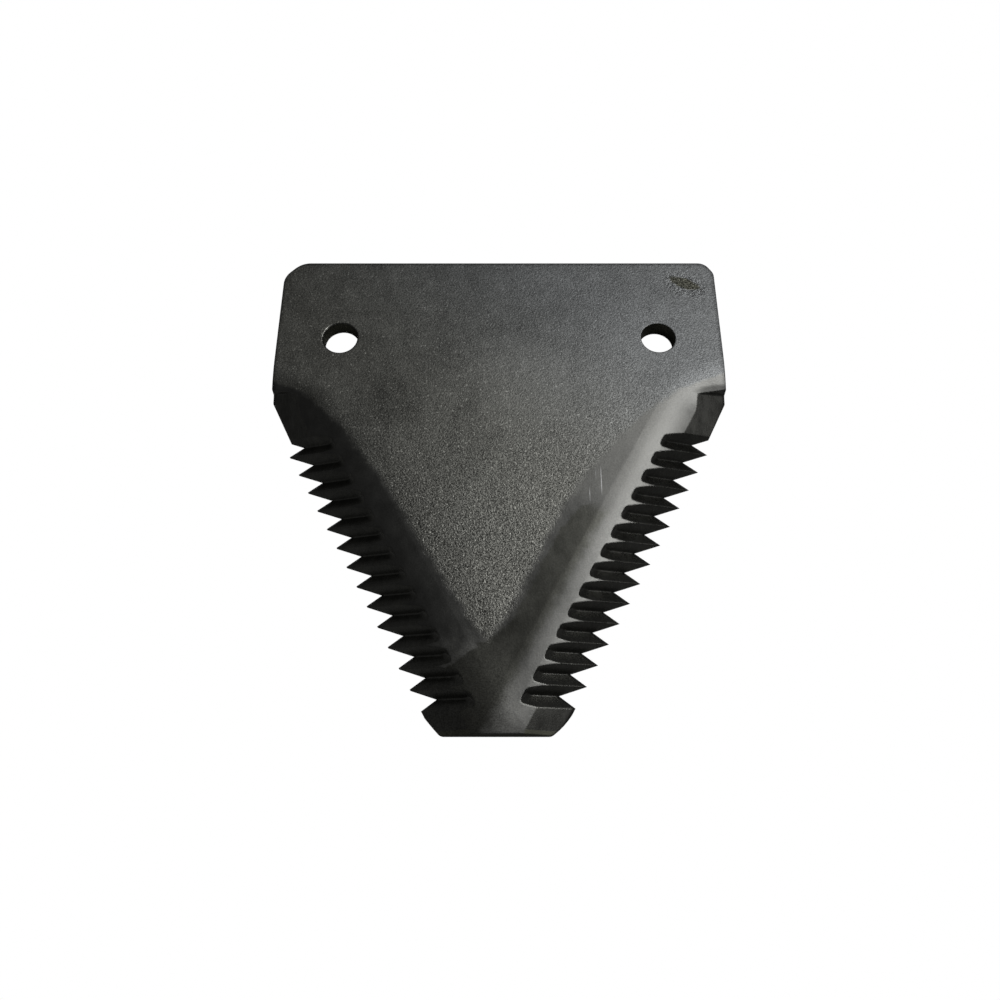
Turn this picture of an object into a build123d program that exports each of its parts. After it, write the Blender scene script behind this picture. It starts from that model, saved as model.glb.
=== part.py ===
from build123d import *
import os
from math import cos, radians, sin, tan

# Sickle section: one forged knife plate with a serrated bevel along both flanks.
# Frame: millimetres, +Z up, the flat underside on Z = 0, the point toward -Y.
# The origin is midway between the two mounting holes, on the underside.

# Plate
plate_width = 75.4
plate_thickness = 3.2
back_edge_distance = 15.7
point_distance = 65.95
left_corner_width = 2.9
left_corner_length = 2.9
left_corner_blend = 3.6
right_corner_width = 1.5
right_corner_length = 2.2
right_corner_blend = 2.2

# Mounting holes
hole_spacing = 54.0
hole_diameter = 5.8
left_hole_break = 0.2
left_hole_breakout = 0.45
right_hole_break = 0.05
right_hole_breakout = 0.05

# Outline of the flanks, angles from the centreline
side_length_below_holes = 11.6
heel_edge_angle = 26.6
heel_edge_end = 18.9
toothed_edge_overlap = 1.9
toothed_edge_margin = 0.45
left_point_half_width = 8.4
left_point_bulge = 0.06
right_point_half_width = 7.5
right_point_bulge = 0.32
point_blend = 1.2

# Tooth rows: place of the first tooth tip, then the rows' direction and pitch
first_tooth_half_width = 34.2
first_tooth_distance = 21.02
row_angle = 29.1
tooth_pitch = 3.625
groove_count = 14
row_offset_x = 0.17
row_offset_y = 0.25
left_tip_wear = 0.2

# Bevel and grooves
bevel_angle = 21.4
groove_skew = 2.3
heel_flank_angle = 53.6
point_flank_angle = 26.0
crest_flat = 0.05
groove_reach = 7.6
groove_end_angle = 65.0
groove_end_round = 0.9
heel_wall_distance = 10.1
heel_wall_skew = 7.0
heel_wall_lean = 12.0

# Rolled shoulder, between the flat land and the teeth
roll_reach = 10.85
roll_radius = 18.7
roll_end_angle = 22.0
flare_start = -4.9
flare_radius = 13.0
flare_angle = 40.0
heel_roll_length = 22.0

# Crown of the point, where the two shoulders meet, and the rounding over its end
crown_radius = 15.0
crown_drop = 0.38
point_roll_radius = 0.6
point_roll_reach = 0.4

# Margins by which the cutting shapes pass the plate
overcut = 2.0
teeth_run_past = 3
tool_height = 4 * plate_thickness
flare_width_share = 0.75

# Worked out from the dimensions above
half_width = plate_width / 2
bevel_rise = tan(radians(bevel_angle))
row_length = tooth_pitch * (groove_count - 1)
row_run = row_length + tooth_pitch * (teeth_run_past + 1)
flare_width = flare_width_share * flare_radius
crease_half_width = right_point_half_width / 3


def row_direction(side):
    """Unit vector along a row, from the heel to the point; side is 1 right, -1 left."""
    return Vector(-side * sin(radians(row_angle)), -cos(radians(row_angle)), 0)


def row_outward(side):
    """Unit vector across a row, away from the plate."""
    return Vector(side * cos(radians(row_angle)), -sin(radians(row_angle)), 0)


def first_tip(side):
    """Tip of the first tooth; both rows sit a little to the left, the right one nearer the back."""
    x = side * first_tooth_half_width - row_offset_x
    return Vector(x, -first_tooth_distance + side * row_offset_y, 0)


def groove_axis(side):
    """Direction of a groove, outward and down to the underside."""
    return Vector(side, tan(radians(groove_skew)), -bevel_rise)


def row_point(side, along, outward, height):
    """Point given in a row's own frame, which starts at its first tooth tip."""
    return first_tip(side) + row_direction(side) * along + row_outward(side) * outward + Vector(0, 0, height)


def half_outline(side, corner_width, corner_length, corner_blend, point_half_width, point_bulge):
    """Outline of one half of the blank, from the centreline at the back to the point."""
    heel_x = half_width - (heel_edge_end - side_length_below_holes) * tan(radians(heel_edge_angle))
    back_start = (side * (half_width - corner_width), back_edge_distance)
    back_end = (side * half_width, back_edge_distance - corner_length)
    last_tip = row_point(side, row_length, 0, 0)
    point_foot = Vector(side * point_half_width, -point_distance, 0)
    across = (last_tip - point_foot).cross(Vector(0, 0, side)).normalized()
    point_middle = (last_tip + point_foot) / 2 + across * point_bulge
    edges = Polyline(
        (0, back_edge_distance),
        back_start,
        back_end,
        (side * half_width, -side_length_below_holes),
        (side * heel_x, -heel_edge_end),
        row_point(side, -toothed_edge_overlap, toothed_edge_margin, 0),
        last_tip,
    ).edges()
    edges.append(ThreePointArc(last_tip, point_middle, point_foot).edge())
    edges.append(Line(point_foot, (0, -point_distance)).edge())
    edges.append(Line((0, -point_distance), (0, back_edge_distance)).edge())
    face = make_face(edges)
    face = fillet([nearest_vertex(face, back_start), nearest_vertex(face, back_end)], corner_blend)
    return fillet(nearest_vertex(face, point_foot), point_blend)


def nearest_vertex(shape, place):
    """Vertex of a shape that lies nearest to a place."""
    return shape.vertices().sort_by_distance(place)[0]


def blank():
    """Flat plate of full thickness, cut to the outline."""
    right = half_outline(
        1,
        right_corner_width,
        right_corner_length,
        right_corner_blend,
        right_point_half_width,
        right_point_bulge,
    )
    left = half_outline(
        -1,
        left_corner_width,
        left_corner_length,
        left_corner_blend,
        left_point_half_width,
        left_point_bulge,
    )
    return extrude(right + left, plate_thickness)


def roll_profile(path_point, outward, width):
    """Section of the metal that the roll takes away, in a vertical plane across its path."""
    end = radians(roll_end_angle)
    roll_width = roll_radius * sin(end)
    roll_drop = roll_radius * (1 - cos(end))

    def place(distance, drop):
        return path_point + outward * distance + Vector(0, 0, plate_thickness - drop)

    middle = place(roll_radius * sin(end / 2), roll_radius * (1 - cos(end / 2)))
    run_out = place(width, roll_drop + (width - roll_width) * tan(end))
    edges = [
        ThreePointArc(place(0, 0), middle, place(roll_width, roll_drop)),
        Line(place(roll_width, roll_drop), run_out),
        Line(run_out, place(width, -overcut)),
        Line(place(width, -overcut), place(0, -overcut)),
        Line(place(0, -overcut), place(0, 0)),
    ]
    return make_face(edges)


def shoulder_roll(side):
    """Metal above one rolled shoulder: straight along the row, then flared out to the heel."""
    flare_foot = row_point(side, flare_start, -roll_reach, 0)
    centre = row_point(side, flare_start, flare_radius - roll_reach, 0)
    turn = radians(flare_angle)
    inward = row_direction(side) * sin(turn) + row_outward(side) * cos(turn)
    onward = row_outward(side) * sin(turn) - row_direction(side) * cos(turn)
    row_profile = roll_profile(flare_foot, row_outward(side), roll_reach + overcut)
    flare_profile = roll_profile(flare_foot, row_outward(side), flare_width)
    heel_profile = roll_profile(centre - inward * flare_radius, inward, flare_width)
    return [
        extrude(row_profile, amount=row_run - flare_start, dir=row_direction(side)),
        revolve(flare_profile, Axis(centre, (0, 0, -side)), flare_angle),
        extrude(heel_profile, amount=heel_roll_length, dir=onward),
    ]


def blend_crown(plate):
    """Round the crease where the two shoulders cross along the centreline of the point."""

    def is_crease(edge):
        ends = [edge @ 0, edge @ 1]
        near_centre = all(abs(end.X) < crease_half_width for end in ends)
        reaches_point = min(end.Y for end in ends) < overcut - point_distance
        runs_along = abs(ends[0].Y - ends[1].Y) > overcut / 2
        return near_centre and reaches_point and runs_along and edge.center().Z > plate_thickness / 2

    creases = [edge for edge in plate.edges() if is_crease(edge)]
    return fillet(creases, crown_radius) if creases else plate


def bevel(side):
    """Metal above the flat bevel, from the step at the heel to past the point."""
    crest_drop = crest_flat / (1 / tan(radians(heel_flank_angle)) + 1 / tan(radians(point_flank_angle)))
    normal = row_direction(side).cross(groove_axis(side)) * side
    slope_x = -normal.X / normal.Z
    slope_y = -normal.Y / normal.Z
    tip = first_tip(side)

    def on_bevel(x, y):
        return Vector(x, y, (x - tip.X) * slope_x + (y - tip.Y) * slope_y - crest_drop)

    outer_x = half_width + overcut
    row_foot = row_point(side, row_run, 0, 0)
    reach_x = (plate_thickness + overcut) / bevel_rise
    wall_fall = tan(radians(heel_wall_skew))
    wall_shift = (first_tooth_distance - heel_wall_distance) * tan(radians(row_angle))
    wall_inner_x = abs(tip.X) + wall_shift - reach_x
    wall_inner_y = -heel_wall_distance - (half_width - wall_inner_x) * wall_fall
    corners = [
        on_bevel(side * outer_x, -heel_wall_distance + overcut * wall_fall),
        on_bevel(side * outer_x, row_foot.Y),
        on_bevel(row_foot.X - side * reach_x, row_foot.Y),
        on_bevel(side * wall_inner_x, wall_inner_y),
    ]
    face = make_face(Polyline(*corners, close=True))
    lean = Vector(0, tan(radians(heel_wall_lean)), 1)
    return extrude(face, amount=tool_height, dir=lean)


def groove(side, index):
    """One V groove, from its steep inner end outward through the edge."""
    axis = groove_axis(side)
    outward = row_outward(side)
    heel_rise = tan(radians(heel_flank_angle))
    point_rise = tan(radians(point_flank_angle))
    step_x = tooth_pitch * sin(radians(row_angle))
    step_y = tooth_pitch * cos(radians(row_angle)) - step_x * tan(radians(groove_skew))
    valley_shift = (heel_rise * step_y - bevel_rise * step_x) / (heel_rise + point_rise)
    valley_depth = point_rise * valley_shift
    tip = row_point(side, tooth_pitch * index, 0, 0)
    valley = tip + Vector(0, valley_shift, -valley_depth)
    height = plate_thickness

    def slide_to_end(point):
        """Move a point along the groove to its inner end wall."""
        end_slope = 1 / tan(radians(groove_end_angle))
        offset = (point - first_tip(side)).dot(outward) + groove_reach
        excess = offset + (point.Z - plate_thickness) * end_slope
        return point - axis * (excess / (axis.dot(outward) + axis.Z * end_slope))

    corners = [
        slide_to_end(valley),
        slide_to_end(valley + Vector(0, height / heel_rise, height)),
        slide_to_end(valley + Vector(0, -height / point_rise, height)),
    ]
    face = make_face(Polyline(*corners, close=True))
    tool = extrude(face, amount=2 * groove_reach, dir=axis.normalized())
    end_face = tool.faces().sort_by(lambda tool_face: tool_face.center().dot(axis))[0]
    return fillet(end_face.edges(), groove_end_round)


def tip_wear(side, depth):
    """Strip along a row that takes the sharp ends off the teeth."""
    margin = overcut / 2
    corners = [
        row_point(side, -margin, -depth, 0),
        row_point(side, row_length + margin, -depth, 0),
        row_point(side, row_length + margin, overcut, 0),
        row_point(side, -margin, overcut, 0),
    ]
    return extrude(make_face(Polyline(*corners, close=True)), amount=plate_thickness, dir=(0, 0, 1))


def point_roll():
    """Rounding over the top edge of the point."""
    block = Pos(0, -point_roll_radius, point_roll_radius) * Box(
        plate_width, 2 * point_roll_radius, 2 * point_roll_radius
    )
    rod = Rotation(0, 90, 0) * Cylinder(point_roll_radius, 2 * plate_width)
    height = plate_thickness - crown_drop - point_roll_radius
    return Pos(0, point_roll_reach - point_distance, height) * (block - rod)


def hole(side, edge_break, breakout):
    """Mounting hole with its broken upper edge and its torn lower edge."""
    radius = hole_diameter / 2
    bore = Cylinder(radius, tool_height)
    lip = Pos(0, 0, plate_thickness) * Cone(radius, radius + 2 * edge_break, 2 * edge_break)
    tear = Cone(radius + 2 * breakout, radius, 2 * breakout)
    return Pos(side * hole_spacing / 2, 0, 0) * (bore + lip + tear)


def sickle_section():
    """The whole section as one solid."""
    plate = blank()
    for side in (1, -1):
        for cut in shoulder_roll(side):
            plate = plate - cut
    plate = blend_crown(plate)
    for side in (1, -1):
        plate = plate - bevel(side)
        plate = plate - [groove(side, index) for index in range(groove_count)]
    plate = plate - tip_wear(-1, left_tip_wear)
    plate = plate - point_roll()
    plate = plate - hole(1, right_hole_break, right_hole_breakout)
    plate = plate - hole(-1, left_hole_break, left_hole_breakout)
    return plate


os.makedirs("parts", exist_ok=True)
section = sickle_section()
print("solids", len(section.solids()), "volume", round(section.volume, 1), "valid", section.is_valid)
export_step(section, "parts/sickle_section.step")
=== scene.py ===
import math

import bpy
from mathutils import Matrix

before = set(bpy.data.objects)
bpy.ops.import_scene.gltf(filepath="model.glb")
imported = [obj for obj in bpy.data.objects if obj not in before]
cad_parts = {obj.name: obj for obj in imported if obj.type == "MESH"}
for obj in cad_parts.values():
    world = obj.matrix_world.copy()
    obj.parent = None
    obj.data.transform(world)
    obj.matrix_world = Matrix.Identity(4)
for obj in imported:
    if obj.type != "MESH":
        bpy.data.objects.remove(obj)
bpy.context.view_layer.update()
section = bpy.data.objects["sickle_section"]


class Tree:
    """Small helper that adds and links the nodes of one material."""

    def __init__(self, name):
        self.material = bpy.data.materials.new(name)
        self.material.use_nodes = True
        self.nodes = self.material.node_tree.nodes
        self.links = self.material.node_tree.links
        self.shader = self.nodes["Principled BSDF"]

    def put(self, socket, value):
        """Link a socket to another one, or set its constant."""
        if isinstance(value, bpy.types.NodeSocket):
            self.links.new(value, socket)
        else:
            socket.default_value = value

    def math(self, operation, first, second=0.0, third=0.0, clamp=False):
        node = self.nodes.new("ShaderNodeMath")
        node.operation = operation
        node.use_clamp = clamp
        self.put(node.inputs[0], first)
        self.put(node.inputs[1], second)
        self.put(node.inputs[2], third)
        return node.outputs[0]

    def step(self, value, low, high, start=0.0, end=1.0):
        """Smooth step of a value between two limits."""
        node = self.nodes.new("ShaderNodeMapRange")
        node.interpolation_type = "SMOOTHSTEP"
        self.put(node.inputs["Value"], value)
        self.put(node.inputs["From Min"], low)
        self.put(node.inputs["From Max"], high)
        self.put(node.inputs["To Min"], start)
        self.put(node.inputs["To Max"], end)
        return node.outputs["Result"]

    def mix(self, factor, first, second):
        """Blend of two colours."""
        node = self.nodes.new("ShaderNodeMix")
        node.data_type = "RGBA"
        self.put(node.inputs["Factor"], factor)
        self.put(node.inputs["A"], first)
        self.put(node.inputs["B"], second)
        return node.outputs["Result"]

    def mix_value(self, factor, first, second):
        """Blend of two numbers."""
        return self.math("ADD", self.math("MULTIPLY", self.math("SUBTRACT", 1.0, factor), first), self.math("MULTIPLY", factor, second))

    def noise(self, vector, scale, detail=4.0, roughness=0.55):
        node = self.nodes.new("ShaderNodeTexNoise")
        self.put(node.inputs["Vector"], vector)
        self.put(node.inputs["Scale"], scale)
        self.put(node.inputs["Detail"], detail)
        self.put(node.inputs["Roughness"], roughness)
        return node.outputs["Fac"]

    def stretched(self, vector, scale):
        """Position scaled by a different amount along each axis."""
        node = self.nodes.new("ShaderNodeMapping")
        self.put(node.inputs["Vector"], vector)
        node.inputs["Scale"].default_value = scale
        return node.outputs["Vector"]

    def curve(self, value, points):
        """Curve through points in millimetres, read at a value in metres; the ends stay level."""
        node = self.nodes.new("ShaderNodeFloatCurve")
        reach = 100.0
        shifted = self.math("MULTIPLY_ADD", value, 1000 / reach, 0.6)
        self.put(node.inputs["Value"], shifted)
        line = node.mapping.curves[0]
        node.mapping.use_clip = False
        first, last = line.points[0], line.points[-1]
        spots = [(along / reach + 0.6, across / reach + 0.1) for along, across in points]
        first.location, last.location = spots[0], spots[-1]
        for spot in spots[1:-1]:
            line.points.new(*spot)
        for point in line.points:
            point.handle_type = "VECTOR"
        node.mapping.update()
        return self.math("MULTIPLY", self.math("SUBTRACT", node.outputs["Value"], 0.1), reach / 1000)

    def line(self, x, y, start, end):
        """Signed distance in metres to the left of a line given by two points in millimetres."""
        dx = end[0] - start[0]
        dy = end[1] - start[1]
        length = math.hypot(dx, dy)
        by_x = self.math("MULTIPLY", self.math("SUBTRACT", x, start[0] / 1000), -dy / length)
        by_y = self.math("MULTIPLY", self.math("SUBTRACT", y, start[1] / 1000), dx / length)
        return self.math("ADD", by_x, by_y)


def olive(value, warmth=0.04):
    """Grey with a slight olive tint."""
    return (value * (1 + warmth), value * (1 + warmth), value * (1 - warmth), 1.0)


LAND_EDGE_RIGHT = [(-55, -3), (-49, 1.5), (-46, 3), (-41, 5.5), (-31, 10.3), (-25, 14.5), (-22, 17), (-18.5, 20), (-14, 25), (-10, 30), (-6, 40)]
LAND_EDGE_LEFT = [(-56, 0), (-52, 2.4), (-50, 4.2), (-41.5, 9.6), (-33, 14.8), (-26, 19.2), (-22, 22.3), (-17, 26.0), (-13.5, 29.8), (-10.5, 32.8), (-8.2, 39)]
BURNISH_EDGE = [(-54, -4), (-50, 1.6), (-46, 3.8), (-41, 6), (-35, 9.4), (-31, 13), (-29, 30), (-20, 30)]


def spot(tree, x, y, centre, size, turn=0.0):
    """Distance from a centre in units of the spot's half sizes; millimetres, turned by degrees."""
    c = math.cos(math.radians(turn))
    s = math.sin(math.radians(turn))
    dx = tree.math("MULTIPLY_ADD", x, 1000.0, -centre[0])
    dy = tree.math("MULTIPLY_ADD", y, 1000.0, -centre[1])
    along = tree.math("MULTIPLY_ADD", dx, c / size[0], tree.math("MULTIPLY", dy, s / size[0]))
    across = tree.math("MULTIPLY_ADD", dx, -s / size[1], tree.math("MULTIPLY", dy, c / size[1]))
    return tree.math("SQRT", tree.math("MULTIPLY_ADD", along, along, tree.math("MULTIPLY", across, across)))


def scratch(tree, x, y, place, span, width):
    """Mask of one fine scratch that runs along the plate, sizes in millimetres."""
    gap = tree.math("ABSOLUTE", tree.math("SUBTRACT", x, place / 1000))
    line = tree.step(gap, 0.6 * width / 1000, 0.3 * width / 1000)
    inside = tree.math("MULTIPLY", tree.step(y, span[0] / 1000, span[0] / 1000 + 0.002), tree.step(y, span[1] / 1000, span[1] / 1000 - 0.002))
    return tree.math("MULTIPLY", line, inside)


def steel_material():
    tree = Tree("section_steel")
    position = tree.nodes.new("ShaderNodeTexCoord").outputs["Object"]
    split = tree.nodes.new("ShaderNodeSeparateXYZ")
    tree.put(split.inputs[0], position)
    x, y, z = split.outputs[0], split.outputs[1], split.outputs[2]
    speckle = tree.noise(position, 3300.0, 2.0, 0.6)
    fine = tree.noise(position, 5200.0, 1.0, 0.6)
    sparkle = tree.step(tree.noise(position, 4300.0, 0.0, 0.5), 0.64, 0.76)
    glint = tree.step(tree.noise(position, 2700.0, 0.0, 0.5), 0.74, 0.8)
    smear = tree.noise(tree.stretched(position, (1.0, 0.7, 1.0)), 420.0, 5.0, 0.62)
    cloud = tree.noise(position, 70.0, 3.0, 0.5)
    wobble = tree.math("MULTIPLY", tree.math("SUBTRACT", tree.noise(position, 600.0, 5.0, 0.7), 0.5), 0.0032)

    # Shot-blasted land: inside the two shoulder lines, with a ragged soft edge
    right_gap = tree.math("SUBTRACT", tree.curve(y, LAND_EDGE_RIGHT), x)
    left_gap = tree.math("ADD", tree.curve(y, LAND_EDGE_LEFT), x)
    gap = tree.math("ADD", tree.math("MINIMUM", right_gap, left_gap), wobble)
    land = tree.step(gap, -0.0006, 0.0014)

    # Burnished flat strip between the land and the right shoulder
    inward = tree.math("SUBTRACT", x, tree.curve(y, BURNISH_EDGE))
    burnish = tree.step(tree.math("ADD", inward, wobble), -0.0004, 0.0006)
    slant = tree.math("MULTIPLY_ADD", x, 0.6, y)
    burnish = tree.math("MULTIPLY", burnish, tree.step(tree.math("MULTIPLY_ADD", wobble, 1.5, slant), -0.0200, -0.0245))

    # Dull worn metal: the flat beside the right shoulder toward the heel, and the crown of the point, whose lighter
    # colour left of the middle is partly painted light
    right_roll = tree.line(x, y, (25.2, -16.0), (3.0, -56.0))
    beside = tree.math("MULTIPLY", tree.step(y, -0.032, -0.027), tree.step(tree.math("ADD", right_roll, wobble), 0.003, -0.002))
    beside = tree.math("MULTIPLY", beside, tree.step(x, 0.0, 0.004))
    burnish = tree.math("MULTIPLY", burnish, tree.step(tree.math("ADD", right_roll, wobble), 0.0012, -0.0008))
    crown = tree.step(tree.math("MULTIPLY_ADD", wobble, 2.0, y), -0.0500, -0.0590)
    crown = tree.math("MULTIPLY", crown, tree.step(x, 0.004, -0.0005))
    wear_and_painted_light = tree.math("MAXIMUM", beside, crown)

    # Ground steel: the bevel and the grooves, the only steep faces; then the upright sides
    geometry = tree.nodes.new("ShaderNodeNewGeometry")
    facing = tree.nodes.new("ShaderNodeSeparateXYZ")
    tree.put(facing.inputs[0], geometry.outputs["True Normal"])
    steep = tree.step(facing.outputs[2], 0.955, 0.945)
    side = tree.math("MAXIMUM", tree.step(facing.outputs[2], 0.2, 0.15), tree.math("MULTIPLY", steep, tree.step(y, -0.0652, -0.0653)))
    ground = tree.math("MULTIPLY", steep, tree.math("SUBTRACT", 1.0, side))

    # Scuff near the right back corner: a sparkling ring round a dull olive core
    ragged = tree.math("MULTIPLY", wobble, 260.0)
    scuff = tree.math("ADD", spot(tree, x, y, (32.6, 11.0), (3.9, 2.3), -24.0), ragged)
    ring = tree.step(scuff, 1.25, 0.75)
    core = tree.step(tree.math("ADD", spot(tree, x, y, (32.4, 11.4), (3.0, 1.1), -24.0), ragged), 1.1, 0.75)

    # Rubbed places on the land
    rub = tree.step(tree.math("ADD", spot(tree, x, y, (-18.0, -12.5), (5.0, 4.5)), ragged), 1.3, 0.5)
    wipe = tree.math("MULTIPLY", tree.step(x, -0.0042, -0.0024), tree.step(spot(tree, x, y, (2.0, -8.8), (11.0, 9.5)), 1.1, 0.75))
    scratches = tree.math("MAXIMUM", scratch(tree, x, y, 16.1, (-29.6, -24.0), 0.13), scratch(tree, x, y, 15.3, (-27.0, -24.4), 0.12))
    scratches = tree.math("MAXIMUM", scratches, scratch(tree, x, y, 14.2, (-31.0, -27.5), 0.1))

    toward_point = tree.step(y, -0.008, -0.042)
    height = tree.math("ADD", tree.math("MULTIPLY", speckle, 0.6), tree.math("MULTIPLY", fine, 0.4))
    bump = tree.nodes.new("ShaderNodeBump")
    bevel = tree.nodes.new("ShaderNodeBevel")
    bevel.samples = 8
    tree.put(bevel.inputs["Radius"], 0.00035)
    tree.put(bump.inputs["Normal"], bevel.outputs[0])
    tree.put(bump.inputs["Height"], height)
    grain = tree.math("MULTIPLY_ADD", toward_point, 0.00007, 0.00005)
    grain = tree.math("MULTIPLY_ADD", ring, 0.0001, grain)
    depth = tree.math("MULTIPLY_ADD", land, grain, 0.000012)
    tree.put(bump.inputs["Distance"], depth)
    tree.put(bump.inputs["Strength"], 1.0)
    tree.put(tree.shader.inputs["Normal"], bump.outputs[0])

    roughness = tree.math("MULTIPLY_ADD", wear_and_painted_light, 0.07, 0.34)
    roughness = tree.math("MULTIPLY_ADD", crown, 0.14, roughness)
    roughness = tree.math("MULTIPLY_ADD", burnish, -0.02, roughness)
    roughness = tree.mix_value(land, roughness, 0.475)
    roughness = tree.mix_value(ground, roughness, 0.27)
    roughness = tree.mix_value(side, roughness, 0.5)
    roughness = tree.math("MULTIPLY_ADD", tree.math("SUBTRACT", smear, 0.5), 0.14, roughness)
    roughness = tree.math("MULTIPLY_ADD", rub, -0.03, roughness)
    roughness = tree.math("MULTIPLY_ADD", wipe, 0.02, roughness)
    roughness = tree.math("MULTIPLY_ADD", ring, -0.08, roughness)
    tree.put(tree.shader.inputs["Roughness"], roughness)

    blued = tree.step(tree.math("ADD", x, tree.math("MULTIPLY", y, 1.2)), -0.03, 0.03)
    land_colour = tree.mix(blued, olive(0.21, 0.045), (0.213, 0.22, 0.222, 1.0))
    colour = tree.mix(wear_and_painted_light, olive(0.122, 0.025), olive(0.17, 0.03))
    # painted light: the crown's lighter colour brightens the left of the point beyond its worn tone
    colour = tree.mix(crown, colour, olive(0.2, 0.03))
    colour = tree.mix(burnish, colour, olive(0.088, 0.06))
    colour = tree.mix(land, colour, land_colour)
    colour = tree.mix(ground, colour, olive(0.15, 0.04))
    colour = tree.mix(side, colour, olive(0.13, 0.12))
    colour = tree.mix(core, colour, olive(0.09, 0.1))
    colour = tree.mix(scratches, colour, olive(0.5, 0.0))
    shade = tree.math("MULTIPLY_ADD", tree.math("SUBTRACT", cloud, 0.5), 0.5, 1.0)
    shade = tree.math("MULTIPLY", shade, tree.math("MULTIPLY_ADD", tree.math("SUBTRACT", smear, 0.5), 0.7, 1.0))
    contrast = tree.math("MULTIPLY_ADD", land, tree.math("MULTIPLY_ADD", toward_point, 2.4, 1.5), 0.6)
    contrast = tree.math("MULTIPLY_ADD", crown, 1.0, contrast)
    contrast = tree.math("MULTIPLY_ADD", ring, 2.5, contrast)
    shade = tree.math("MULTIPLY", shade, tree.math("MULTIPLY_ADD", tree.math("SUBTRACT", fine, 0.5), contrast, 1.0))
    shade = tree.math("MULTIPLY_ADD", wipe, 0.16, shade)
    shade = tree.math("MULTIPLY_ADD", rub, -0.16, shade)
    left_rim = tree.math("MULTIPLY", land, tree.step(left_gap, 0.008, 0.001))
    shade = tree.math("MULTIPLY", shade, tree.math("MULTIPLY_ADD", left_rim, -0.25, 1.0))
    # painted highlights: bright specks on the blasted land, stronger toward the point, and sparser glints that fade on
    # the blued part
    shade = tree.math("MULTIPLY_ADD", tree.math("MULTIPLY", sparkle, land), tree.math("MULTIPLY_ADD", toward_point, 0.6, 0.4), shade)
    glint = tree.math("MULTIPLY", glint, tree.math("MULTIPLY", land, tree.math("MULTIPLY_ADD", blued, -0.75, 1.0)))
    shade = tree.math("MULTIPLY_ADD", glint, 1.3, shade)
    brushed = tree.noise(tree.stretched(position, (1.0, 0.15, 1.0)), 2600.0, 2.0, 0.6)
    brushed = tree.math("MULTIPLY", tree.math("SUBTRACT", brushed, 0.5), ground)
    shade = tree.math("MULTIPLY_ADD", brushed, 0.7, shade)

    # Painted shade: darker toward the back corners and the sides along the rounded edges, and above the heel's step
    beyond_x = tree.math("MAXIMUM", tree.math("SUBTRACT", tree.math("ABSOLUTE", x), 0.0347), 0.0)
    beyond_y = tree.math("MAXIMUM", tree.math("SUBTRACT", y, 0.0127), 0.0)
    beyond = tree.math("MULTIPLY_ADD", beyond_x, beyond_x, tree.math("MULTIPLY", beyond_y, beyond_y))
    # painted shade: darkens the colour within about 2 to 3 mm of the back and side edges, in place of the shading of
    # their rounded edges
    painted_edge_shade = tree.step(tree.math("SQRT", beyond), 0.0022, 0.003)
    shade = tree.math("MULTIPLY", shade, tree.math("MULTIPLY_ADD", painted_edge_shade, -0.4, 1.0))
    # painted shade above the heel's step, where the shoulder should roll down more steeply than the modelled shape
    painted_heel_shade = tree.step(spot(tree, x, y, (36.2, -9.9), (4.2, 1.1), 6.0), 1.1, 0.5)
    painted_heel_shade = tree.math("MULTIPLY", painted_heel_shade, tree.math("SUBTRACT", 1.0, ground))
    shade = tree.math("MULTIPLY", shade, tree.math("MULTIPLY_ADD", painted_heel_shade, -0.6, 1.0))
    scaled = tree.nodes.new("ShaderNodeVectorMath")
    scaled.operation = "SCALE"
    tree.put(scaled.inputs[0], colour)
    tree.put(scaled.inputs["Scale"], shade)
    tree.put(tree.shader.inputs["Base Color"], scaled.outputs[0])
    tree.put(tree.shader.inputs["Metallic"], 1.0)
    return tree.material


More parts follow.
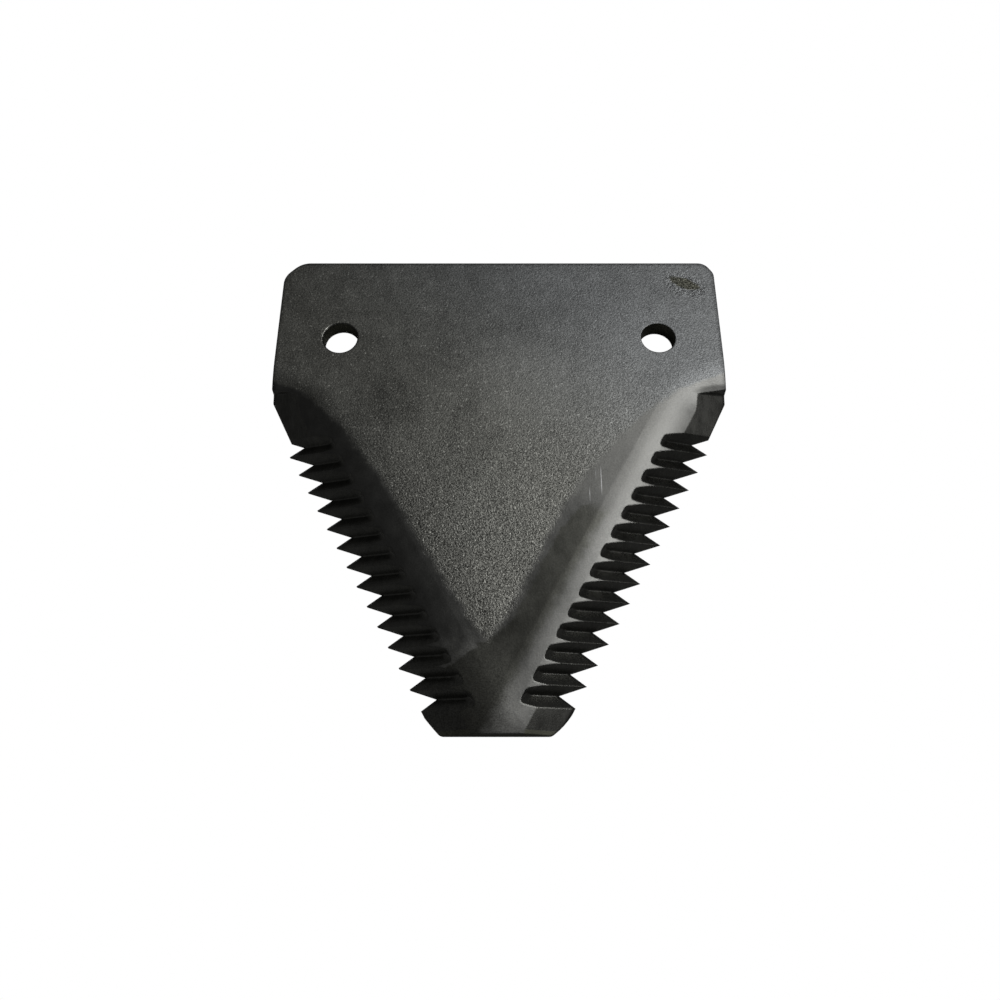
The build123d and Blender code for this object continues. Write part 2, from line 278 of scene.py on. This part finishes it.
def floor_material():
    """White floor: plain white to the camera, dim to the metal's reflections."""
    tree = Tree("floor_white")
    paths = tree.nodes.new("ShaderNodeLightPath")
    glow = tree.nodes.new("ShaderNodeEmission")
    glow.inputs["Color"].default_value = (1, 1, 1, 1)
    blend = tree.nodes.new("ShaderNodeMixShader")
    tree.put(blend.inputs[0], paths.outputs["Is Camera Ray"])
    tree.links.new(tree.shader.outputs[0], blend.inputs[1])
    tree.links.new(glow.outputs[0], blend.inputs[2])
    tree.links.new(blend.outputs[0], tree.nodes["Material Output"].inputs["Surface"])
    tree.put(tree.shader.inputs["Base Color"], (0.25, 0.25, 0.25, 1.0))
    tree.put(tree.shader.inputs["Roughness"], 0.9)
    return tree.material


def softbox(name, azimuth, elevation, distance, size_x, size_y, power):
    """Area light aimed at the middle of the section; azimuth 0 is behind the point, toward +X at 90."""
    data = bpy.data.lights.new(name, "AREA")
    data.shape = "RECTANGLE"
    data.size = size_x
    data.size_y = size_y
    data.energy = power
    lamp = bpy.data.objects.new(name, data)
    bpy.context.collection.objects.link(lamp)
    a = math.radians(azimuth)
    e = math.radians(elevation)
    lamp.location = (
        distance * math.sin(a) * math.cos(e),
        -0.025 - distance * math.cos(a) * math.cos(e),
        distance * math.sin(e),
    )
    lamp.rotation_euler = (math.pi / 2 - e, 0, a)
    return lamp


steel = steel_material()
for index in range(len(section.material_slots)):
    section.material_slots[index].material = steel

bpy.ops.mesh.primitive_plane_add(size=6.0, location=(0, 0, -0.00005))
floor = bpy.context.object
floor.name = "floor"
floor.data.materials.append(floor_material())

world = bpy.data.worlds.new("studio")
bpy.context.scene.world = world
world.use_nodes = True
world.node_tree.nodes["Background"].inputs["Color"].default_value = (1, 1, 1, 1)
world.node_tree.nodes["Background"].inputs["Strength"].default_value = 0.055

softbox("key_right", 118, 58, 0.7, 0.5, 0.16, 1.72)

camera_data = bpy.data.cameras.new("camera")
camera = bpy.data.objects.new("camera", camera_data)
bpy.context.collection.objects.link(camera)
camera_data.lens = 32.4
camera_data.sensor_width = 36.0
camera_data.clip_start = 0.005
camera.location = (0.00014, -0.087915, 0.131192)
camera.rotation_euler = (math.radians(24.26), 0, 0)
bpy.context.scene.camera = camera
bpy.context.scene.view_settings.view_transform = "Standard"
